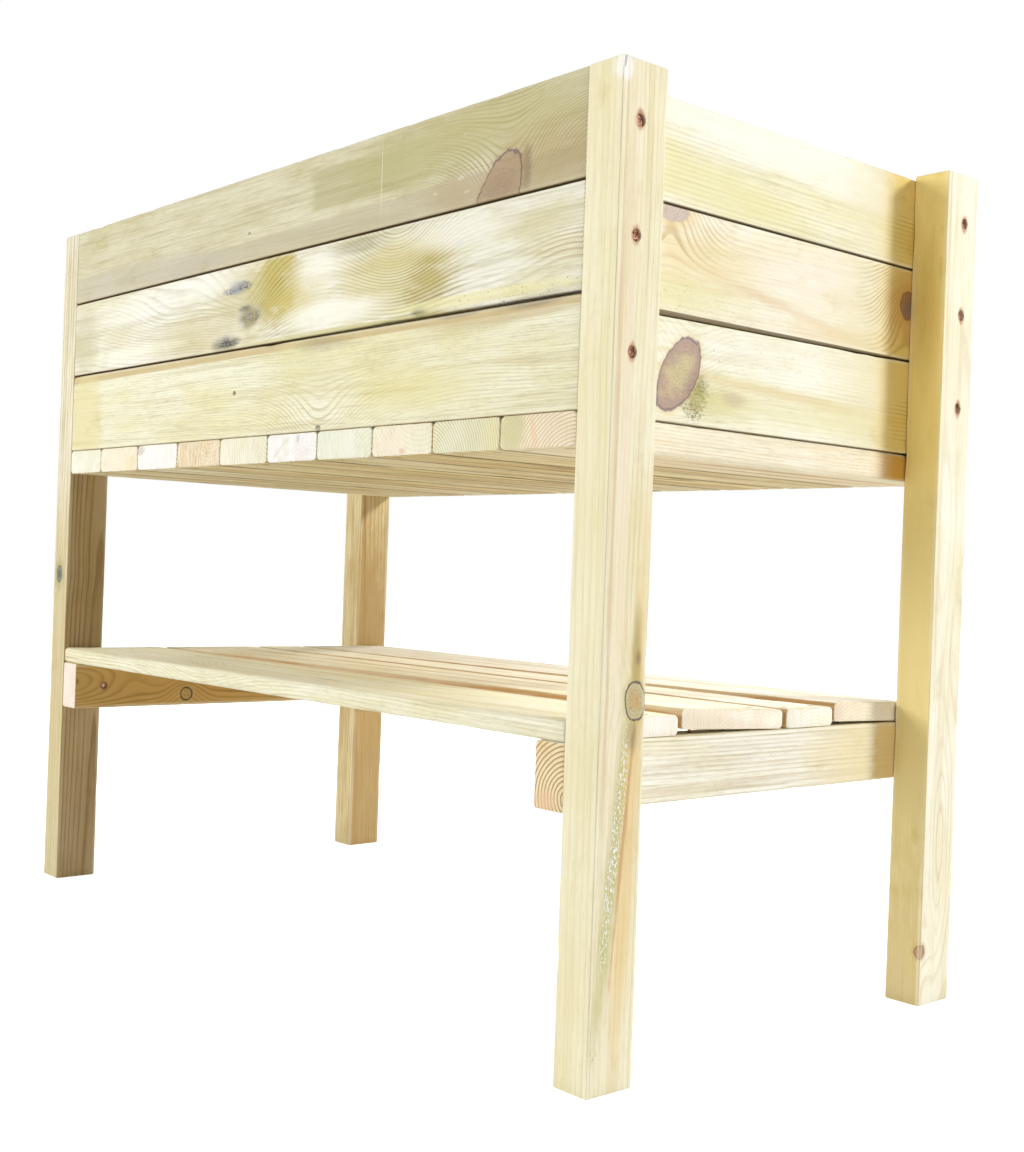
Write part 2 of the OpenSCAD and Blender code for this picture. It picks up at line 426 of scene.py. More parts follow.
def board_mesh(board, r, warp, rng, end_r=1.2, step=14.0):
    """A sawn and planed board in local millimetres: slightly uneven, with nicked arrises."""
    half_x, half_y, half_z = board["half"]
    outline = section(half_y, half_z, r)
    count = max(8, int(2 * (half_x - end_r) / step))
    stations = [(-half_x, end_r), (-half_x + 0.35 * end_r, 0.35 * end_r)]
    stations += [(-half_x + end_r + 2 * (half_x - end_r) * i / count, 0.0) for i in range(count + 1)]
    stations += [(half_x - 0.35 * end_r, 0.35 * end_r), (half_x, end_r)]
    nicks = [(rng.uniform(-half_x, half_x), rng.choice((-1, 1)), rng.choice((-1, 1)),
              rng.uniform(0.3, 1.1), rng.uniform(5, 16)) for _ in range(int(half_x / NICK_EVERY))]
    phase = [rng.uniform(0, 6.28) for _ in range(4)]
    bm = bmesh.new()
    rings = []
    for x, inset in stations:
        ring = []
        for y, z in outline:
            # Planing leaves the faces hollow by a few tenths, never proud
            wave = HOLLOW_SWING * math.sin(x / 57 + phase[0]) * math.sin(x / 23 + y / 19 + phase[1])
            hollow = HOLLOWED + wave
            dent = 0.0
            for nx, ky, kz, depth, length in nicks:
                near_corner = max(0.0, 1 - (abs(y - ky * half_y) + abs(z - kz * half_z)) / (2.2 * r))
                dent += depth * near_corner * math.exp(-((x - nx) / length) ** 2)
            shrink = inset + dent
            py = math.copysign(min(abs(y), half_y - hollow) - shrink * abs(y) / half_y, y)
            pz = math.copysign(min(abs(z), half_z - hollow) - shrink * abs(z) / half_z, z)
            dy, dz = warp(x / half_x, y / half_y) if warp else (0.0, 0.0)
            ring.append(bm.verts.new((x, py + dy, pz + dz)))
        rings.append(ring)
    join_rings(bm, rings)
    bm.faces.new(list(reversed(rings[0])))
    bm.faces.new(rings[-1])
    return bm


def join_rings(bm, rings):
    """Skins a row of closed rings that have as many points each."""
    for a, b in zip(rings, rings[1:]):
        for i in range(len(a)):
            j = (i + 1) % len(a)
            bm.faces.new((a[i], a[j], b[j], b[i]))


def turn_of(board):
    """Matrix that turns local axes to the board's."""
    return Matrix(board["axes"]).transposed().to_4x4()


def to_object(bm, name, material=None, angle=35):
    """Makes an object of a bmesh, shaded smooth up to the angle in degrees."""
    mesh = bpy.data.meshes.new(name)
    bm.to_mesh(mesh)
    bm.free()
    mesh.shade_smooth()
    mesh.set_sharp_from_angle(angle=math.radians(angle))
    if material:
        mesh.materials.append(material)
    made = bpy.data.objects.new(name, mesh)
    bpy.context.scene.collection.objects.link(made)
    return made


def cut_away(made, cutter, name):
    """Cuts a closed bmesh out of an object's mesh."""
    tool = to_object(cutter, name + "_cutter")
    cut = made.modifiers.new(name, "BOOLEAN")
    cut.operation, cut.solver, cut.object = "DIFFERENCE", "EXACT", tool
    bpy.context.view_layer.update()
    result = bpy.data.meshes.new_from_object(made.evaluated_get(bpy.context.evaluated_depsgraph_get()))
    made.modifiers.clear()
    made.data = result
    bpy.data.objects.remove(tool)


# ---------------------------------------------------------------- screws
# How deep the heads are sunk (mm), and the splinters round each
SUNK = 2.0
SPLINTERS = 9
# The cutter of a head's pit: its clearance, its length and how far its middle is above the head (mm), and
# how much wider it is at its outer end
PIT = {"clearance": 0.15, "length": 6.0, "middle": 2.4, "flare": 1.12}


def screws_of(node):
    """Every screw in a CAD screw node: the middle of its head's top, its direction and its size."""
    bm = bmesh.new()
    bm.from_mesh(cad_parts[node].data)
    bmesh.ops.remove_doubles(bm, verts=bm.verts, dist=1e-6)
    left, found = set(bm.verts), []
    while left:
        group, edge = [], [left.pop()]
        while edge:
            v = edge.pop()
            group.append(v.co.copy())
            for e in v.link_edges:
                other = e.other_vert(v)
                if other in left:
                    left.remove(other)
                    edge.append(other)
        lo = Vector(min(p[i] for p in group) for i in range(3))
        hi = Vector(max(p[i] for p in group) for i in range(3))
        size = hi - lo
        k = max(range(3), key=lambda i: size[i])
        middle = (lo + hi) / 2
        girth = min(size[i] for i in range(3) if i != k)
        low_end = [p for p in group if p[k] < lo[k] + 1e-5]
        head_is_low = max((p - middle).length for p in low_end) - size[k] / 2 > 1e-4
        head = middle.copy()
        head[k] = lo[k] if head_is_low else hi[k]
        way = Vector((0, 0, 0))
        way[k] = 1 if head_is_low else -1
        found.append({"head": head, "way": way, "length": size[k], "head_r": girth / 2})
    bm.free()
    return sorted(found, key=lambda s: tuple(round(v, 4) for v in s["head"]))


def seat_of(screw):
    """Matrix from a screw's own frame, with Z down its shank, to the model's."""
    return Matrix.Translation(screw["head"]) @ screw["way"].to_track_quat("Z", "Y").to_matrix().to_4x4()


def add_screw(bm, screw, rng):
    """A countersunk screw with a six-lobe recess and a real thread, inside its CAD outline."""
    r, length = screw["head_r"] / MM, screw["length"] / MM
    shank = r * 0.52
    around = 24
    turned = rng.uniform(0, math.pi / 3)
    lobe = [0.40 * r + 0.09 * r * math.cos(6 * (2 * math.pi * i / around + turned)) for i in range(around)]
    cone = r - shank
    thread_start = 0.6 + cone + 0.28 * length
    profile = [(0.62 * r, 0.0), (0.93 * r, 0.05), (0.99 * r, 0.25), (0.99 * r, 0.6), (shank, 0.6 + cone),
               (shank * 0.92, 0.6 + cone + 1.5), (shank * 0.92, thread_start)]
    pitch = shank * 1.1
    turns = int((length - shank * 2.6 - thread_start) / pitch)
    for i in range(turns):
        z = thread_start + i * pitch
        profile += [(shank * 0.66, z + 0.25 * pitch), (shank * 0.98, z + 0.5 * pitch)]
        profile.append((shank * 0.66, z + 0.75 * pitch))
    profile += [(shank * 0.6, thread_start + turns * pitch), (0.15, length - 0.1)]
    move = seat_of(screw) @ Matrix.Scale(MM, 4)

    def ring(radii, z):
        angles = [2 * math.pi * i / around for i in range(around)]
        return [bm.verts.new(move @ Vector((rad * math.cos(a), rad * math.sin(a), z)))
                for a, rad in zip(angles, radii)]

    rings = [ring([v * 0.8 for v in lobe], 1.9), ring(lobe, 1.7), ring(lobe, 0.12)]
    rings.append(ring([v * 1.1 for v in lobe], 0.0))
    rings += [ring([rad] * around, z) for rad, z in profile]
    join_rings(bm, rings)
    bm.faces.new(rings[0])
    bm.faces.new(rings[-1])


def screw_piece(node, material, rng):
    """All the screws of a CAD screw node."""
    bm = bmesh.new()
    for screw in screws_of(node):
        add_screw(bm, screw, rng)
    bmesh.ops.recalc_face_normals(bm, faces=bm.faces)
    made = to_object(bm, node + "_turned", material, 40)
    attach(made, "root")
    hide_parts(node)


def sink_screws(made, board, screws, rng, torn):
    """Cuts the sunk screw heads' pits into a board and leaves torn fibres round them."""
    reach = sum((a * h * MM for a, h in zip(board["axes"], board["half"])), Vector((0, 0, 0)))
    reach = Vector(abs(v) for v in reach)
    own = [s for s in screws if all(abs((s["head"] - board["centre"])[i]) < reach[i] for i in range(3))]
    if not own:
        return
    cutters = bmesh.new()
    for screw in own:
        r = screw["head_r"] + PIT["clearance"] * MM
        seat = seat_of(screw) @ Matrix.Translation((0, 0, -PIT["middle"] * MM))
        bmesh.ops.create_cone(cutters, cap_ends=True, segments=28, radius1=r * PIT["flare"], radius2=r,
                              depth=PIT["length"] * MM, matrix=seat)
    cut_away(made, cutters, "pits")
    if torn:
        add_torn_fibres(made, board, own, rng)
    made.data.shade_smooth()
    made.data.set_sharp_from_angle(angle=math.radians(35))


def add_torn_fibres(made, board, screws, rng):
    """Splinters pulled up along the grain at the rims of the pits."""
    bm = bmesh.new()
    bm.from_mesh(made.data)
    grain = board["axes"][0]
    for screw in screws:
        out = -screw["way"]
        side = grain.cross(out)
        surface = screw["head"] + out * SUNK * MM
        for _ in range(SPLINTERS):
            end = rng.choice((-1, 1))
            angle = rng.uniform(-0.9, 0.9)
            rim = screw["head_r"] * 1.05
            foot = surface + grain * end * rim * math.cos(angle) + side * rim * math.sin(angle)
            foot -= out * 0.5 * MM
            long = rng.uniform(2.0, 4.6) * MM
            wide = rng.uniform(0.35, 0.7) * MM
            inward = -end if rng.random() < 0.6 else end
            tip = foot + grain * inward * long
            tip = tip + out * (rng.uniform(-1.1, 0.35)) * MM + side * rng.uniform(-0.5, 0.5) * MM
            tip -= out * max(0.0, (tip - surface).dot(out))
            corners = ((-1, -1), (1, -1), (0.6, 0.6), (-0.6, 0.6))
            base = [bm.verts.new(foot + side * wide * a + out * 0.35 * MM * b) for a, b in corners]
            bend = foot.lerp(tip, 0.55)
            middle = [bm.verts.new(bend + side * wide * 0.6 * a + out * 0.22 * MM * b) for a, b in corners]
            point = bm.verts.new(tip)
            for i in range(4):
                j = (i + 1) % 4
                bm.faces.new((base[i], base[j], middle[j], middle[i]))
                bm.faces.new((middle[i], middle[j], point))
            bm.faces.new(list(reversed(base)))
    bmesh.ops.recalc_face_normals(bm, faces=bm.faces)
    bm.to_mesh(made.data)
    bm.free()


# ---------------------------------------------------------------- looks of the boards
# Places and sizes are in mm along the grain and across it, from the middle of the board
LOOK = {
    "light": PALE, "tint": YELLOW, "late": LATE, "contrast": 0.75, "pith": (10.0, -70.0), "ring": 3.4,
    "sharp": 0.5, "hairs": 1.0, "wander": 4.0, "wave": 330.0, "taper": 0.012, "streaks": 0.35,
    "swells": [], "knots": [], "patches": [], "specks": 0.5, "grime": 0.35, "rub": CREAM,
    "seams": (0.0, 0.0), "seam": 1.3, "clean": 0.1, "end": CREAM, "end_late": LATE, "end_tint": PALE,
    "end_contrast": 0.7, "end_marks": [], "saw": 0.16, "saw_colour": LATE_TAN}


def look(seed, **changes):
    return {**LOOK, **changes, "seed": seed}


def mark(x, y, rx, ry, colour, **more):
    return {"at": (x, y), "size": (rx, ry), "colour": colour, **more}


def patch(x, y, rx, ry, colour, amount, **more):
    return mark(x, y, rx, ry, colour, amount=amount, **more)


def haze(x, y, rx, ry, colour, amount, ragged=1.6, **more):
    """A patch without an outline, drawn out along the grain."""
    return patch(x, y, rx, ry, colour, amount, soft=0.8, ragged=ragged, **more)


def rings(x, y, rx, ry, colour, amount, soft=0.5, **more):
    """A patch that shows only on the dark half of each ring."""
    return patch(x, y, rx, ry, colour, amount, kind="rings", soft=soft, **more)


def dots(x, y, rx, ry, colour, amount, soft=0.7, **more):
    """A patch of scattered specks."""
    return patch(x, y, rx, ry, colour, amount, kind="dots", soft=soft, **more)


def smudge(x, y, rx, ry, colour, amount, ragged=3.0):
    """A crumbled dark mark."""
    return patch(x, y, rx, ry, colour, amount, kind="smudge", soft=0.6, ragged=ragged)


def swell(x, y, rx, ry, push):
    """A buried knot that pushes the rings aside."""
    return {"at": (x, y), "size": (rx, ry), "push": push}


def screw_stains(places):
    """Reddish torn wood round each screw: places are along and across the board's face."""
    return [patch(x, y, 8.0, 4.8, "#b26c42", 0.75, soft=0.35, ragged=1.5) for x, y in places]


# Painted shadow of the back right post on the end planks, with a soft painted penumbra before it
SHADE = [patch(150, 0, 60, 90, "#e2d8ac", 0.6, soft=0.8, ragged=1.2),
         patch(192, 0, 38, 90, SHADED, 0.85, soft=0.6, ragged=0.3, square=True)]

LOOKS = {}
LOOKS["front_plank_bottom"] = look(
    3.1, light="#f4f2d8", tint="#ede7bc", late="#bcaa64", pith=(-96, -38), wave=300, wander=3,
    contrast=0.42, ring=2.3, seams=(0.7, 0.75), specks=0.2,
    swells=[
        swell(92, -50, 66, 42, 22), swell(100, -46, 160, 60, 16), swell(-440, 20, 60, 60, 12),
        swell(320, 0, 80, 24, -5), swell(-250, 0, 120, 40, 6)],
    patches=[
        # The first two patches are the middle plank's painted shadow along the top edge; the dark dashes at
        # the top edge on the right, further on, are painted shade in the seam
        patch(-20, 45, 620, 7.5, "#cab27e", 0.8, soft=0.1, ragged=0.15, square=True, tilt=0.15),
        patch(360, 37, 110, 5, "#ccb888", 0.6, soft=0.5, ragged=0.3),
        rings(96, -30, 90, 26, "#b0985c", 0.5, soft=0.7),
        patch(92, -43, 4.5, 2.8, "#5c5846", 0.85, ragged=0.7), dots(55, 26, 60, 18, "#605830", 0.8),
        dots(0, -4, 60, 22, "#786e40", 0.5), dots(320, 22, 120, 14, "#6e643c", 0.35),
        patch(-420, -10, 44, 60, "#e2d496", 0.6, soft=0.4), patch(-67, 1, 3, 2.2, "#605c38", 0.8),
        patch(240, -18, 90, 18, "#e4da98", 0.55, soft=0.7), patch(60, 20, 60, 26, "#ded69e", 0.5, soft=0.7),
        haze(96, 38, 34, 6, "#968a70", 0.45, ragged=1.8), patch(300, 45, 30, 3, "#807058", 0.6),
        patch(396, 45, 36, 4, "#7a6856", 0.6, soft=0.6)])
LOOKS["front_plank_middle"] = look(
    7.7, light="#f6f4e6", tint="#e8e3c2", late="#a49654", pith=(-80, -40), wave=300, wander=3,
    contrast=0.26, ring=3.9, seams=(0.9, 0.85), specks=0.2, sharp=0.42,
    swells=[
        swell(-203, 3, 110, 34, 30), swell(211, 40, 66, 60, 44), swell(440, -8, 60, 26, -12),
        swell(-52, 6, 74, 52, 34), swell(-420, 10, 60, 50, -8)],
    knots=[
        mark(-42, -12, 8, 6, "#9698a2", solid=0.35, reach=3.6, push=1.1, outline=0.0, halo="#c4b66c",
            glow=2.3, rim="#404456", wobble=0.5)],
    patches=[
        patch(14, 18, 36, 38, "#c2b054", 0.85, soft=0.35, tilt=-30, ragged=1.6),
        rings(8, 14, 46, 44, "#685620", 0.85),
        patch(-20, 6, 34, 34, "#c4b668", 0.6, soft=0.7, ragged=2.4, tilt=-40),
        patch(46, -6, 40, 22, "#d4c67a", 0.55, soft=0.7),
        patch(-430, -4, 34, 40, "#c0b688", 0.55, soft=0.6),
        rings(-200, 0, 140, 42, "#9e8a58", 0.5, soft=0.6),
        patch(-160, -24, 90, 24, "#cabc82", 0.5, soft=0.7), patch(-66, 8, 44, 30, "#cec496", 0.6, soft=0.7),
        patch(-70, 20, 15, 7, "#989aa2", 0.75, soft=0.6, ragged=1.6),
        smudge(-58, 21, 14, 4.0, "#3a405a", 0.9), smudge(-84, 18, 12, 3.0, "#545a70", 0.8),
        patch(-44, -11, 19, 10, "#80828c", 0.7, soft=0.6, ragged=1.6),
        smudge(-40, -13, 12, 6.5, "#2e3246", 0.95, ragged=2.8), smudge(-52, -3, 12, 3.0, "#42465a", 0.8),
        patch(-89, -37, 22, 8, "#6e6c68", 0.8, soft=0.6, ragged=1.6),
        smudge(-84, -37, 16, 6, "#303236", 0.9, ragged=2.8), dots(0, 34, 30, 6, "#464228", 0.6, soft=0.6),
        rings(211, 10, 96, 50, "#867836", 0.8, soft=0.4), haze(205, 14, 70, 12, "#d4c88a", 0.5),
        haze(-290, 18, 70, 14, "#fcfaee", 0.6), haze(-150, 28, 70, 10, "#fcfaf0", 0.7),
        haze(-300, -28, 90, 8, "#fbf9e2", 0.6), haze(90, 20, 50, 14, "#faf7e4", 0.6),
        haze(400, 20, 60, 10, "#cec492", 0.4), patch(205, -4, 84, 26, "#d8cc90", 0.5, soft=0.6, ragged=1.8),
        patch(258, -16, 24, 26, "#baa85c", 0.6, soft=0.7, tilt=-35, ragged=2.6),
        rings(256, -18, 40, 26, "#786832", 0.7, soft=0.6),
        patch(246, -38, 10, 4.5, "#5c5850", 0.8, soft=0.6), patch(150, 34, 40, 8, "#9e9872", 0.5, soft=0.7),
        patch(110, -24, 74, 12, "#faf8e8", 0.85, soft=0.5),
        patch(330, -34, 130, 5, "#eee8b0", 0.7, soft=0.4, ragged=1.4),
        patch(100, -42, 190, 2.6, "#cec67a", 0.7, soft=0.5),
        dots(380, -37, 110, 7.0, "#282412", 1.0, soft=0.6),
        # Painted shade in the widened gap along the lower edge on the right
        patch(400, -43.5, 70, 1.2, "#3a301c", 0.7, soft=0.6, ragged=2.0),
        patch(300, 26, 60, 12, "#f8f5e6", 0.6, soft=0.6), patch(300, 14, 7, 4, "#e4e2d6", 0.6, soft=0.6),
        rings(439, -4, 40, 12, "#b08858", 0.7, soft=0.7)])
LOOKS["front_plank_top"] = look(
    1.9, light="#dcd6b8", tint="#ccc49c", late="#9e9262", pith=(-110, -30), wave=420, wander=2,
    contrast=0.32, ring=2.2, seams=(0.9, 0.1), rub="#ded2ac", specks=0.12, taper=0.01,
    swells=[swell(362, -48, 84, 60, 46), swell(450, 10, 50, 40, -10)],
    knots=[
        mark(346, -50, 25, 50, "#ac9272", heart="#a0866c", tilt=-30, reach=1.3, push=0.1, rim="#64505c",
            halo="#b89e6e", glow=1.35, outline=0.75, depth=60, solid=0.7, wobble=0.06, line=0.05)],
    patches=[
        rings(380, 0, 110, 46, "#7c6634", 0.7, soft=0.4),
        patch(120, -34, 360, 13.5, "#beb498", 0.6, soft=0.14, tilt=0.9, ragged=0.25, square=True),
        patch(-280, -34, 210, 20, "#c6bfac", 0.6, soft=0.3, ragged=0.4, tilt=-1.5),
        patch(172, 8, 102, 20, "#aca670", 0.55, soft=0.1, ragged=0.3, square=True, fade=(330, 110)),
        patch(250, 14, 90, 26, "#b6af76", 0.5, soft=0.6), patch(380, 22, 100, 26, "#c0b882", 0.6, soft=0.7),
        patch(418, -20, 54, 28, "#b0965c", 0.5, soft=0.7),
        patch(296, -30, 40, 14, "#baa682", 0.6, soft=0.6),
        patch(183, 0, 0.8, 30, "#f0ecdc", 0.4, soft=0.7, ragged=0.5),
        patch(299, -18, 5, 2.0, "#e4decc", 0.4, ragged=1.0),
        patch(308, -31, 4, 1.4, "#e2dcc8", 0.35, ragged=1.0), patch(264, -26, 2.6, 1.4, "#e4decc", 0.35),
        patch(203, -20, 3, 1.4, "#e0dcc8", 0.3), patch(303, 19, 2, 1.0, "#e2deca", 0.3),
        patch(-48, -15, 3.0, 1.3, "#6e6660", 0.6),
        patch(384, -24, 6, 16, "#705c46", 0.55, soft=0.7, ragged=1.4)])
LOOKS["right_plank_bottom"] = look(
    5.3, hairs=0.8, light="#fcfae8", tint="#f7f2d4", late="#cebe7c", pith=(-100, -44), wave=300, wander=2.5,
    ring=3.4, contrast=0.5, specks=0.3, seams=(0.75, 0.8), sharp=0.45, swells=[swell(-100, 0, 60, 40, 12)],
    knots=[
        mark(-130, -4, 20, 36, "#b09284", heart="#cebe8e", tilt=-34, reach=1.7, push=0.5, rim="#806c76",
            halo="#e6d092", glow=1.3, outline=0.85, wobble=0.12, line=0.07, solid=0.9)],
    patches=[
        patch(-107, -18, 11, 15, "#847e3e", 0.8, soft=0.6, ragged=1.8, tilt=-30),
        patch(-108, -20, 17, 18, "#403c16", 0.9, soft=0.5, ragged=1.4, kind="flecks", tilt=-30),
        dots(-92, -26, 40, 14, "#606028", 0.9), patch(-80, -22, 34, 12, "#cec470", 0.6, soft=0.8),
        haze(20, 26, 150, 18, "#fcf9ea", 0.5, ragged=1.5),
        haze(60, -24, 130, 12, "#ece6b6", 0.6, ragged=1.5),
        dots(-20, 20, 130, 18, "#787650", 0.55, soft=0.6),
        patch(20, -8, 160, 5, "#e2ce92", 0.6, soft=0.8, tilt=-3),
        patch(-60, -18, 14, 6, "#cebea0", 0.6, soft=0.5, ragged=0.8),
        patch(192, -14, 20, 9, "#b08e3e", 0.7, soft=0.6), *SHADE,
        rings(196, -14, 30, 20, "#967428", 0.8, soft=0.4)])
LOOKS["right_plank_middle"] = look(
    9.4, hairs=0.7, light="#faf5e0", tint="#f5eccc", late="#dcbc80", pith=(70, -30), wave=280, wander=3,
    ring=3.4, contrast=0.32, seams=(0.85, 0.75), sharp=0.4,
    swells=[swell(-146, 42, 46, 44, 24), swell(190, 8, 44, 40, 20)],
    knots=[
        mark(-146, 42, 22, 12, "#cebcb4", reach=2.2, push=0.4, outline=0.15, glow=1.9, halo="#e4c884",
            solid=0.85),
        mark(191, 8, 12, 13, "#966c4a", heart="#746464", reach=3.4, push=1.6, wobble=0.3, rim="#624028",
            halo="#ce9c50", glow=3.6, halo_amount=0.75, outline=0.5, solid=0.8)],
    patches=[
        patch(30, -24, 150, 4.5, "#dcba86", 0.45, soft=0.9, tilt=-9, ragged=2.0),
        patch(110, -34, 80, 9, "#e8ce9c", 0.6, soft=0.8),
        patch(-150, -26, 80, 15, "#e8e2aa", 0.7, soft=0.8), dots(-130, -28, 90, 14, "#6c6a34", 0.7),
        patch(60, 10, 80, 22, "#faf1e4", 0.6, soft=0.7, ragged=1.5),
        haze(90, -10, 90, 26, "#f0e4c4", 0.4, ragged=1.5), patch(-110, 6, 60, 22, "#f0deac", 0.6, soft=0.8),
        *SHADE, rings(172, 6, 46, 44, "#9e682c", 0.9, soft=0.6), rings(-140, 30, 60, 36, "#be9654", 0.7)])
LOOKS["right_plank_top"] = look(
    2.6, hairs=0.7, light="#fbf8e6", tint="#f3edc6", late="#c6bc7a", pith=(-110, -26), wave=500, wander=2.0,
    ring=4.0, contrast=0.4, seams=(0.8, 0.0), sharp=0.4,
    patches=[
        patch(20, 28, 280, 22, "#fcfaec", 0.8, soft=0.4, tilt=-4),
        patch(-110, -20, 130, 20, "#ece4a8", 0.7, soft=0.6, tilt=-4),
        dots(-100, 20, 90, 10, "#8c885a", 0.3), patch(190, -18, 22, 14, "#a0883c", 0.75, soft=0.6), *SHADE,
        rings(190, -18, 34, 22, "#8c742c", 0.8),
        rings(-40, -24, 190, 22, "#b2a45c", 0.5, soft=0.4, tilt=-4)])
LOOKS["back_plank_bottom"] = look(
    21.3, light="#f0ecca", pith=(14, -60), seams=(0.7, 0.75),
    knots=[mark(-210, 8, 11, 8, KNOT_PINK, reach=3.2), mark(180, -18, 7, 6, KNOT_BROWN, reach=3.0)])
LOOKS["back_plank_middle"] = look(
    22.8, light="#f4eece", tint="#e4daa6", pith=(-24, -56), seams=(0.8, 0.8),
    knots=[mark(60, 14, 13, 9, KNOT_PINK, reach=3.0, rim="#785850")], swells=[swell(-200, 0, 90, 34, 26)])
LOOKS["back_plank_top"] = look(
    24.1, light="#ece6c0", tint="#d8d09e", pith=(30, -70), wave=420, seams=(0.8, 0.1),
    knots=[mark(-330, -12, 9, 8, KNOT_BROWN, reach=3.0), mark(300, 20, 8, 6, KNOT_PINK, reach=3.0)])
LOOKS["left_plank_bottom"] = look(
    31.7, pith=(-18, -58), knots=[mark(70, 6, 10, 9, KNOT_BROWN, reach=3.0)], seams=(0.7, 0.75))
LOOKS["left_plank_middle"] = look(
    33.2, light="#f4efd0", pith=(26, -60), swells=[swell(30, 0, 70, 30, 22)], seams=(0.8, 0.8))
LOOKS["left_plank_top"] = look(
    35.9, light="#f6f0ce", pith=(-40, -50), knots=[mark(-90, -10, 8, 7, KNOT_PINK, reach=3.0)],
    seams=(0.8, 0.1))
BOTTOM_TONES = [
    ("#faf1c8", "#f0e0ae"), ("#f7ecbc", "#e8d8a0"), ("#fcf5d2", "#f4e8ba"), ("#f4e5b2", "#e4d096")]
BOTTOM_ENDS = [
    dict(end="#f8f5e4", end_tint="#f0eed6", end_contrast=0.1),
    dict(
        end="#f8f1d8", end_tint="#f8ebd8", end_contrast=0.15,
        end_marks=[patch(30, 6, 14, 9, "#eee2aa", 0.4)]),
    dict(
        end="#fdfbf6", end_tint="#fbf8f0", end_contrast=0.08,
        end_marks=[patch(-38, -8, 9, 5, "#bcac96", 0.5)]),
    dict(end="#f5ead0", end_tint="#eedcba", end_contrast=0.3, saw=0.75, saw_colour="#ceaa74"),
    dict(end="#f7f4e0", end_tint="#f2efd4", end_contrast=0.3, saw=0.25, pith=(58, -20)),
    dict(
        end="#fdfbf7", end_tint="#f9f4f0", end_contrast=0.15, end_late="#deccbe", pith=(30, 60),
        end_marks=[patch(-22, 2, 16, 2, "#e2d0ca", 0.4, tilt=-38), patch(12, -9, 3, 4, "#cebaaa", 0.5)]),
    dict(end="#f6f6e6", end_tint="#f0f2de", end_contrast=0.25, pith=(60, 40)),
    dict(
        end="#f7f3da", end_tint="#f7eed6", end_contrast=0.2,
        end_marks=[patch(-20, 6, 24, 9, "#f8e6d4", 0.4), patch(2, 10, 4, 2.5, "#e2b08c", 0.5, soft=0.6)]),
    dict(
        end="#f0edd2", end_tint="#ebe8c6", end_contrast=0.7, end_late="#b4ac7c", pith=(-54, 27), ring=3.0,
        end_marks=[patch(36, 4, 12, 16, "#ece29e", 0.45, soft=0.7)]),
    dict(
        end="#f5eace", end_tint="#f2e6c8", end_contrast=0.65, end_late="#cc9c6e", pith=(46, 44), ring=3.2,
        end_marks=[
            patch(-30, -2, 15, 18, "#cecc96", 0.7, soft=0.5),
            patch(-4, 0, 3, 14, "#eec49e", 0.5, soft=0.6, tilt=-12)])]
# Painted shade on the shelf boards: their front sides, which stand in shade where the boards lift, and
# stripes along their seams
SHELF_EDGE_SHADE = [
    patch(0, 0, 600, 60, "#be9254", 0.9, soft=0.3, ragged=0.4, face="down"),
    patch(40, -66, 500, 3.4, "#b88c50", 0.85, soft=0.4, ragged=0.8),
    patch(60, 64, 440, 4.0, "#ceb076", 0.5, soft=0.5, ragged=1.2)]
LOOKS["shelf_board_1"] = look(
    41.2, light="#f9f7e0", tint="#f3eeca", late="#c6b476", pith=(-90, -40), wave=230, wander=5,
    contrast=0.55, end="#fdf8f0", end_tint="#fcf3e6", end_contrast=0.15, grime=0.2,
    swells=[swell(-120, -40, 90, 40, 30), swell(180, -10, 90, 30, -14), swell(60, 40, 80, 24, 14)],
    patches=[
        patch(0, 58, 500, 10, "#d8c490", 0.5, soft=0.6, ragged=1.5),
        patch(60, -20, 26, 1.6, "#a07842", 0.7, soft=0.6, tilt=4),
        haze(-40, 30, 160, 5, "#ceb882", 0.5, ragged=1.8),
        haze(240, -30, 160, 6, "#e0d2a0", 0.6, ragged=1.8)])
LOOKS["shelf_board_2"] = look(
    43.6, light="#faf5dc", tint="#f0e5be", late="#bea066", pith=(20, -62), end="#fcf6e4",
    end_tint="#fceeda", end_contrast=0.3, end_late="#ecd6b0", contrast=0.65,
    patches=[
        *SHELF_EDGE_SHADE, haze(-100, 20, 300, 6, "#be9a64", 0.6, ragged=1.8),
        haze(160, -20, 240, 5, "#b28c58", 0.5, ragged=1.8)])
LOOKS["shelf_board_3"] = look(
    45.1, light="#f8f5e2", tint="#f0e8c8", late="#c4ac74", pith=(4, -48), end="#fdfbf0", end_tint="#fbf7e2",
    end_contrast=0.3, contrast=0.5,
    # The second patch is the painted shade stripe along its front edge
    patches=[SHELF_EDGE_SHADE[0], patch(40, -33, 500, 3.4, "#b88c50", 0.85, soft=0.4, ragged=0.8)])
LOOKS["shelf_board_4"] = look(
    47.9, light="#f2ecda", tint="#e4dabe", late="#baa070", pith=(-24, -56), end="#fcf3dc",
    end_tint="#fbead2", end_contrast=0.3, contrast=0.55, grime=0.2,
    patches=[*SHELF_EDGE_SHADE, haze(60, 10, 300, 7, "#c6ac7a", 0.5, ragged=1.8)])
LOOKS["bearer_right"] = look(
    51.4, light="#fbf9ec", tint="#f7f1da", late="#baa26a", pith=(-17, 23), wander=2.0, ring=3.8,
    contrast=0.85, sharp=0.4, end="#f6e8c0", end_late="#b08046", end_tint="#f2deb2", end_contrast=0.95,
    specks=0.3, taper=0.004, end_marks=[patch(-20, -2, 9, 12, "#ecc8a0", 0.7, soft=0.5)],
    patches=[
        # Painted shadow of the back right post on the bearer's end, with its soft painted edge
        patch(150, 0, 70, 60, "#e8d6a4", 0.7, soft=0.8, ragged=1.2),
        patch(196, 0, 32, 40, "#e6c478", 0.8, soft=0.15, square=True)])
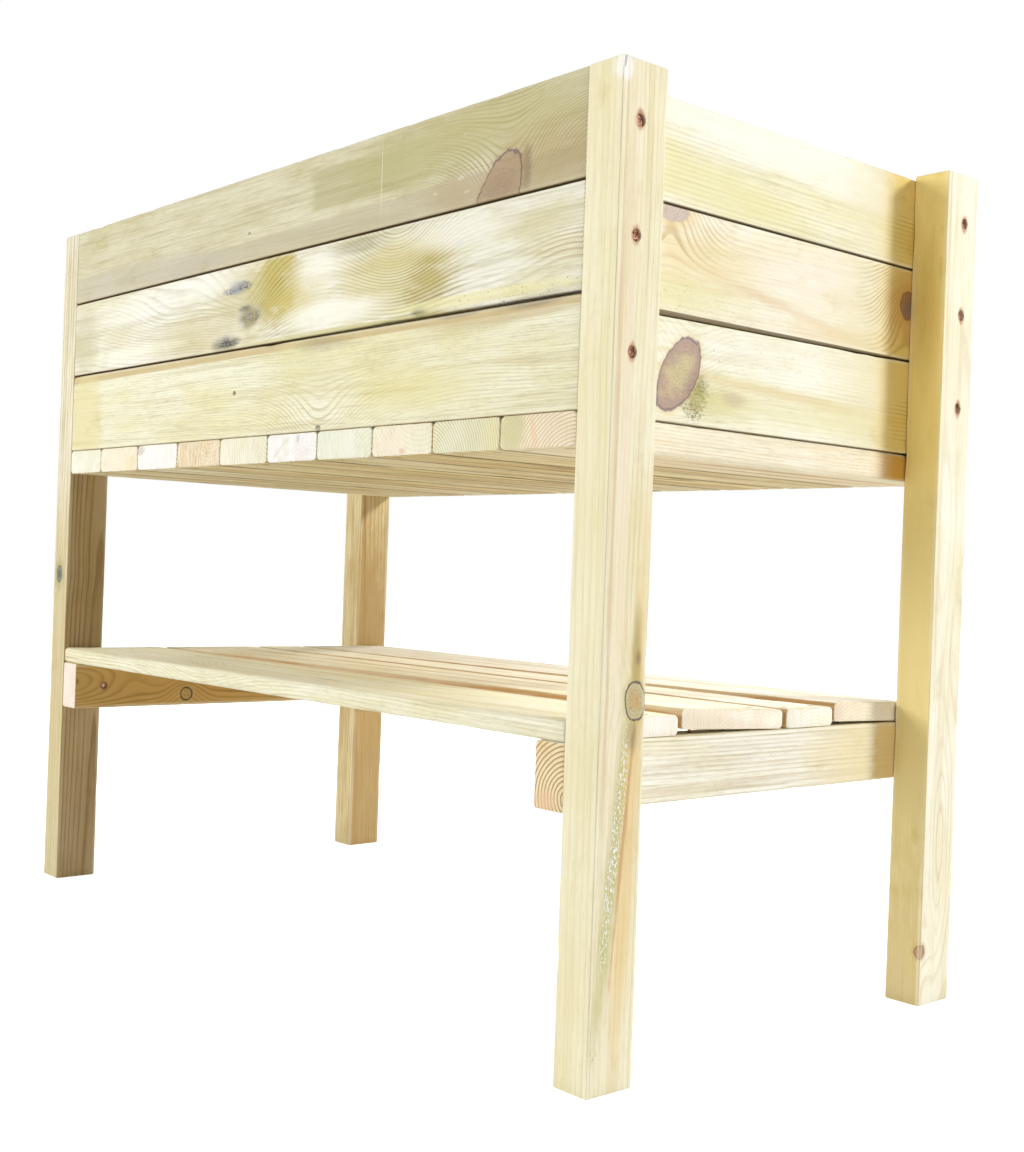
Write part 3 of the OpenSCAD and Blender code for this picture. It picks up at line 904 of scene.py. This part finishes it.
LOOKS["bearer_left"] = look(
    53.8, light="#f0deac", tint="#e2ca92", late="#96703a", pith=(6, -34), wave=150, wander=6, ring=3.0,
    contrast=0.9, sharp=0.4, end="#fceadc", end_tint="#fcf0e2", end_contrast=0.15,
    swells=[swell(-170, 4, 60, 20, 12), swell(-20, -4, 60, 16, 8)],
    knots=[
        mark(-93, -13, 8, 8, "#ba965a", reach=3.2, push=1.6, rim="#2e2814", outline=1.0, solid=0.8,
            line=0.2)],
    patches=[
        # The inner face under the box: a wet stain with painted shade over it, darker with darker rings
        patch(0, 0, 900, 60, "#cca660", 0.9, soft=0.3, face="back"),
        haze(-60, 0, 300, 30, "#ba8e48", 0.6, face="back"),
        rings(0, 0, 900, 60, "#745224", 0.5, soft=0.3, face="back")])
LOOKS["post_front_right"] = look(
    61.3, hairs=0.6, light="#faf4d8", tint="#f5eac4", late="#dac68a", pith=(60, -46), wave=620, wander=2.5,
    ring=3.4, contrast=0.6, specks=0.25, taper=0.006,
    knots=[
        mark(-95, 13.5, 15.5, 11.5, "#cec496", heart="#d6b47c", tilt=-9, reach=2.0, push=0.7, rim="#624850",
            halo="#c4bc78", glow=1.5, outline=0.95, depth=30)],
    patches=[
        patch(-205, -2, 130, 8, "#c2be76", 0.75, soft=0.6, ragged=1.1, tilt=6.2),
        patch(-180, 11, 190, 9, "#eac880", 0.6, soft=0.6, ragged=0.8, tilt=2),
        dots(-200, -3, 120, 4.0, "#a09662", 0.7, soft=0.6, ragged=1.2, tilt=6.2),
        patch(-205, -3, 95, 5.4, "#fdfcf6", 1.0, soft=0.4, ragged=1.2, tilt=6.2, kind="flecks"),
        patch(-200, 6, 110, 1.6, "#ce966e", 0.6, soft=0.5, ragged=1.6, tilt=5),
        dots(-270, -9, 120, 3.2, "#8c8a60", 0.9, soft=0.6, ragged=1.2, tilt=6.2),
        patch(-60, 13, 34, 5, "#b0a060", 0.7, soft=0.6), haze(-62, 15, 5, 3, "#80544e", 0.5),
        patch(-122, 12, 11, 6, "#806e5c", 0.5, soft=0.9, ragged=1.6),
        patch(391, -20, 10, 5.5, "#fffefa", 0.95, soft=0.3, ragged=0.8),
        patch(391, 16, 9, 4.5, "#fffefa", 0.95, soft=0.3, ragged=0.8, face="down"),
        patch(120, -8, 260, 4, "#f6e2c8", 0.6, soft=0.7),
        patch(90, -18, 300, 2.0, "#d6b492", 0.5, soft=0.7),
        patch(0, 0, 600, 26, "#eee6b8", 0.35, soft=0.5, face="down")])
LOOKS["post_back_right"] = look(
    64.9, hairs=0.6, light="#f9f4e0", tint="#f3ebcc", late="#ceb87a", pith=(10, -52), wave=240, wander=4,
    ring=3.6, contrast=0.5, specks=0.3, swells=[swell(-250, 2, 110, 16, 18), swell(40, -6, 120, 14, 8)],
    knots=[mark(-348, -24, 6.5, 6, "#b28c64", reach=2.6, rim="#6e4e38", depth=7, push=0.8)],
    patches=[
        # Painted shade on the post's front face: warm yellow from bounce light, lighter about the shelf,
        # darker near the bottom
        patch(250, 0, 300, 60, "#fade80", 0.85, soft=0.4, face="down"),
        patch(-120, 0, 200, 60, "#eeda94", 0.9, soft=0.5, face="down"),
        patch(-400, 0, 130, 60, "#ceb878", 0.8, soft=0.5, face="down"),
        patch(280, 0, 70, 12, "#ceac54", 0.6, soft=0.8, face="down")])
LOOKS["post_front_left"] = look(
    67.2, light="#f6f2de", tint="#ece5c4", late="#96723e", pith=(18, -40), wave=500, wander=4, ring=4.6,
    contrast=0.7,
    knots=[
        mark(-22, 3, 10, 7, "#9e9c90", heart="#706e6c", reach=2.4, push=1.0, rim="#403a2c", face="down",
            depth=14, wobble=0.5, halo="#a0a468", glow=2.6, halo_amount=0.6, line=0.2)],
    patches=[
        # Painted shade: the lower front face darker, and the inner face under the box darker with darker
        # rings
        patch(-200, 0, 300, 60, "#ceba80", 0.7, soft=0.5, ragged=0.6, face="down"),
        patch(0, 0, 900, 60, "#a8864a", 0.75, soft=0.3, face="back"),
        rings(40, 0, 500, 26, "#684820", 0.6, face="back")])
LOOKS["post_back_left"] = look(
    # Painted shade: the post is toned darker than the others, and its inner face darker still below the box
    69.5, light="#e8daaa", tint="#d6be86", late="#9c7440", pith=(-22, -44), wave=500, wander=5, ring=4.4,
    contrast=0.7, swells=[swell(-200, 4, 60, 12, 12)],
    patches=[patch(-250, 0, 300, 60, "#ba9860", 0.8, soft=0.4, face="back")])


# ---------------------------------------------------------------- build the boards
def board(node, axes, slot, r, warp=None, screws=(), torn=False, chip=None):
    """Replaces a CAD board by a detailed one in the same place."""
    rng = random.Random(node)
    where = board_frame(node, axes)
    bm = board_mesh(where, r, warp, rng)
    move = Matrix.Translation(where["centre"]) @ turn_of(where) @ Matrix.Scale(MM, 4)
    bmesh.ops.transform(bm, matrix=move, verts=bm.verts)
    bmesh.ops.recalc_face_normals(bm, faces=bm.faces)
    made = to_object(bm, node + "_board", pine(node + "_pine", where, LOOKS[node]))
    if chip:
        chip_corner(made, where, chip)
    sink_screws(made, where, screws, rng, torn)
    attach(made, "root")
    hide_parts(node)


def chip_corner(made, where, side):
    """Splits a small flake off the post's top corner; side gives the corner's width and face signs."""
    a, b, c = where["axes"]
    hx, hy, hz = (h * MM for h in where["half"])
    corner = where["centre"] + a * hx + b * hy * side[0] + c * hz * side[1]
    bm = bmesh.new()
    bmesh.ops.create_cube(bm, size=1.0)
    for v in bm.verts:
        v.co = Vector((v.co.x * CHIP[0], v.co.y * CHIP[1], v.co.z * CHIP[2])) * MM
        # The flake thins out down the post
        if v.co.x < 0:
            v.co.y *= CHIP_FOOT[0]
            v.co.z *= CHIP_FOOT[1]
    bmesh.ops.transform(bm, matrix=Matrix.Translation(corner) @ turn_of(where), verts=bm.verts)
    bmesh.ops.recalc_face_normals(bm, faces=bm.faces)
    cut_away(made, bm, "chip")


# Length, width and depth of the chip, in mm, and its width and depth at its lower end, as parts of those
CHIP = (20, 15, 6)
CHIP_FOOT = (0.35, 0.3)
# Radii of the rounded arrises, in mm
ROUND = {"post": 1.5, "front": 3.4, "back": 4.0, "end": 2.6, "bottom": 5.0, "bearer": 3.0, "shelf": 5.0}

SCREW_NODES = ("post_screws", "end_screws", "bottom_screws", "bearer_screws", "shelf_screws")
SCREWS = {node: screws_of(node) for node in SCREW_NODES}


def screws_in_post(where, side_x):
    """The post screws whose heads are in the outer face of one post, on the side with the sign side_x."""
    return [s for s in SCREWS["post_screws"]
            if abs(s["head"].y - where["centre"].y) < where["half"][1] * MM and s["head"].x * side_x > 0]


for front in ("front", "back"):
    for side_x, hand in ((-1, "left"), (1, "right")):
        node = f"post_{front}_{hand}"
        axes = (Z, Y, X * side_x)
        where = board_frame(node, axes)
        own = screws_in_post(where, side_x)
        stains = [((s["head"] - where["centre"]).z / MM, (s["head"] - where["centre"]).y / MM) for s in own]
        LOOKS[node]["patches"] += screw_stains(stains)
        chip = (-1, 1) if node == "post_front_right" else None
        board(node, axes, "post_wood", ROUND["post"], screws=own, torn=True, chip=chip)

# The middle and bottom planks of the right end are ripped slightly askew, by so many mm at the front
RIP_DROP = 3.6
RIGHT_RIP = {
    "middle": lambda u, v: (-RIP_DROP * (1 - u) / 2 * (1 - v) / 2, 0.0),
    "bottom": lambda u, v: (-RIP_DROP * (1 - u) / 2 * (1 + v) / 2, 0.0)}
# The middle plank of the front is a little hollow along the right half of its lower edge
HOLLOW = 1.3
FRONT_HOLLOW = {"middle": lambda u, v: (HOLLOW * min(1, max(0, 1.6 * u + 0.3)) * (1 - v) / 2, 0.0)}
for level in ("bottom", "middle", "top"):
    board(f"front_plank_{level}", (X, Z, -Y), "plank_wood", ROUND["front"], warp=FRONT_HOLLOW.get(level))
    board(f"back_plank_{level}", (X, Z, Y), "plank_wood", ROUND["back"])
    board(f"right_plank_{level}", (Y, Z, X), "plank_wood", ROUND["end"], warp=RIGHT_RIP.get(level),
          screws=SCREWS["end_screws"])
    board(f"left_plank_{level}", (Y, Z, -X), "plank_wood", ROUND["end"], screws=SCREWS["end_screws"])

for i in range(10):
    light, tint = BOTTOM_TONES[i % 4]
    # Their wide dark seams are grime and painted shade in the gaps between the boards
    its = {**look(80 + 2.37 * i, light=light, tint=tint, late="#96703a", contrast=0.9, ring=4.4, clean=9.0,
                  seam=6.5 + 2.5 * (i % 2), seams=(0.0 if i == 0 else 0.85, 0.0 if i == 9 else 0.85),
                  streaks=0.6, pith=((i % 4 - 1.5) * 18, -46 - 7 * (i % 3))), **BOTTOM_ENDS[i]}
    if i == 9:
        # Painted shadow of the back right post on the outer side of the last board
        post_shadow_patch = patch(204, 0, 46, 60, "#ce982c", 0.95, face="up", soft=0.5, ragged=0.3, square=True)
        its.update(light="#faf4de", tint="#f6e8c8", late="#e0c492", patches=[post_shadow_patch])
    # Two dark streaks and a broad one, in other places on every board
    its["patches"] = its["patches"] + [
        patch(-60 + 37 * (i % 5), 12 * (i % 3 - 1), 150, 2.6, "#8e6838", 0.65, soft=0.7, ragged=2.0),
        patch(120 - 53 * (i % 4), -20 + 9 * (i % 5), 110, 1.8, "#70522e", 0.6, soft=0.7, ragged=2.0),
        patch(-40 + 60 * (i % 4), 26 - 11 * (i % 4), 160, 7.0, "#c4a068", 0.6, soft=0.8, ragged=1.6)]
    LOOKS[f"bottom_board_{i + 1}"] = its
    board(f"bottom_board_{i + 1}", (Y, X, -Z), "bottom_wood", ROUND["bottom"], screws=SCREWS["bottom_screws"])

board("bearer_right", (Y, Z, X), "bearer_wood", ROUND["bearer"], screws=SCREWS["bearer_screws"])
board("bearer_left", (Y, Z, -X), "bearer_wood", ROUND["bearer"], screws=SCREWS["bearer_screws"])

# The second and fourth shelf boards have lifted along their front edges, more and more to the right: mm
# at the right end, and the power with which it grows
SHELF_LIFT = [(0.0, 1.0), (2.5, 1.0), (0.0, 1.0), (1.8, 2.0)]
for i, (lift, power) in enumerate(SHELF_LIFT):

    def raised(u, v, lift=lift, power=power):
        return 0.0, lift * (1 - v) * (0.5 + 0.5 * u) ** power

    board(f"shelf_board_{i + 1}", (X, Y, Z), "shelf_wood", ROUND["shelf"], warp=raised,
          screws=SCREWS["shelf_screws"])

steel = screw_steel()
for node in SCREW_NODES:
    screw_piece(node, steel, random.Random(node))


# ---------------------------------------------------------------- floor, light and camera
# What the camera sees glow in the middle of the floor and far out, and between which distances (m)
FLOOR_GLOW = (0.62, 1.0)
FLOOR_FADE = (0.9, 2.6)
# What glows for the rest of the scene
FLOOR_BOUNCE = 0.08


def stage_floor(size=12.0):
    """A white floor, lit from within for the camera, so that it fades into the white surround."""
    bm = bmesh.new()
    bmesh.ops.create_grid(bm, x_segments=2, y_segments=2, size=size)
    material, g = new_material("studio_floor")
    place = g.node("ShaderNodeTexCoord", {}).outputs["Object"]
    seen = g.node("ShaderNodeLightPath", {}).outputs["Is Camera Ray"]
    own = g.smooth(g.vec("LENGTH", place), *FLOOR_FADE, *FLOOR_GLOW)
    glow = g.add(FLOOR_BOUNCE, g.mul(seen, own))
    shader = g.node("ShaderNodeBsdfPrincipled", {
        "Base Color": (0.9, 0.9, 0.9, 1), "Roughness": 0.9, "Specular IOR Level": 0.1,
        "Emission Color": (1, 1, 1, 1), "Emission Strength": glow})
    g.node("ShaderNodeOutputMaterial", {0: shader.outputs[0]})
    to_object(bm, "studio_floor", material)


def area_light(name, bearing, elevation, watts, size=1.3, distance=4.2, middle=(0, 0, 0.4)):
    """A soft round light; bearing 0 is on the right, 90 behind, both in degrees."""
    b, e = math.radians(bearing), math.radians(elevation)
    away = Vector((math.cos(b) * math.cos(e), math.sin(b) * math.cos(e), math.sin(e)))
    data = bpy.data.lights.new(name, "AREA")
    data.shape, data.size, data.energy = "DISK", size, watts
    light = bpy.data.objects.new(name, data)
    light.location = Vector(middle) + away * distance
    light.rotation_euler = (-away).to_track_quat("-Z", "Y").to_euler()
    light.visible_camera = False
    bpy.context.scene.collection.objects.link(light)


def white_world(seen=1.0, cast=0.1):
    """A white surround that lights the scene less than it shows."""
    world = bpy.data.worlds.new("studio")
    world.use_nodes = True
    bpy.context.scene.world = world
    world.node_tree.nodes.clear()
    g = Graph(world.node_tree)
    path = g.node("ShaderNodeLightPath", {}).outputs
    shown = g.math("MAXIMUM", path["Is Camera Ray"], g.mul(path["Is Glossy Ray"], 0.8))
    strength = g.mul_add(shown, seen - cast, cast)
    back = g.node("ShaderNodeBackground", {"Color": (1, 1, 1, 1), "Strength": strength})
    g.node("ShaderNodeOutputWorld", {0: back.outputs[0]})


def camera(place, azimuth, pitch, roll, lens):
    """azimuth 0 looks along +Y and grows to the left; angles in degrees, roll lifts the right side."""
    a, p, r = (math.radians(v) for v in (azimuth, pitch, roll))
    ahead = Vector((-math.sin(a) * math.cos(p), math.cos(a) * math.cos(p), math.sin(p)))
    right = Vector((math.cos(a), math.sin(a), 0))
    up = right.cross(ahead)
    right, up = right * math.cos(r) + up * math.sin(r), up * math.cos(r) - right * math.sin(r)
    data = bpy.data.cameras.new("camera")
    data.lens = lens
    data.clip_start, data.clip_end = 0.05, 60
    cam = bpy.data.objects.new("camera", data)
    cam.matrix_world = Matrix.Translation(place) @ Matrix((right, up, -ahead)).transposed().to_4x4()
    bpy.context.scene.collection.objects.link(cam)
    bpy.context.scene.camera = cam


stage_floor()
white_world()
area_light("key_light", bearing=42, elevation=26, watts=108, size=0.8)
area_light("front_light", bearing=248, elevation=14, watts=86)
area_light("front_high_light", bearing=275, elevation=48, watts=33)
area_light("right_light", bearing=353, elevation=45, watts=26)
area_light("back_light", bearing=125, elevation=20, watts=92)
camera((1.3103, -1.0488, 0.4038), azimuth=49.01, pitch=-0.25, roll=2.10, lens=46.9)
bpy.context.scene.view_settings.view_transform = "Standard"
bpy.context.scene.view_settings.look = "None"
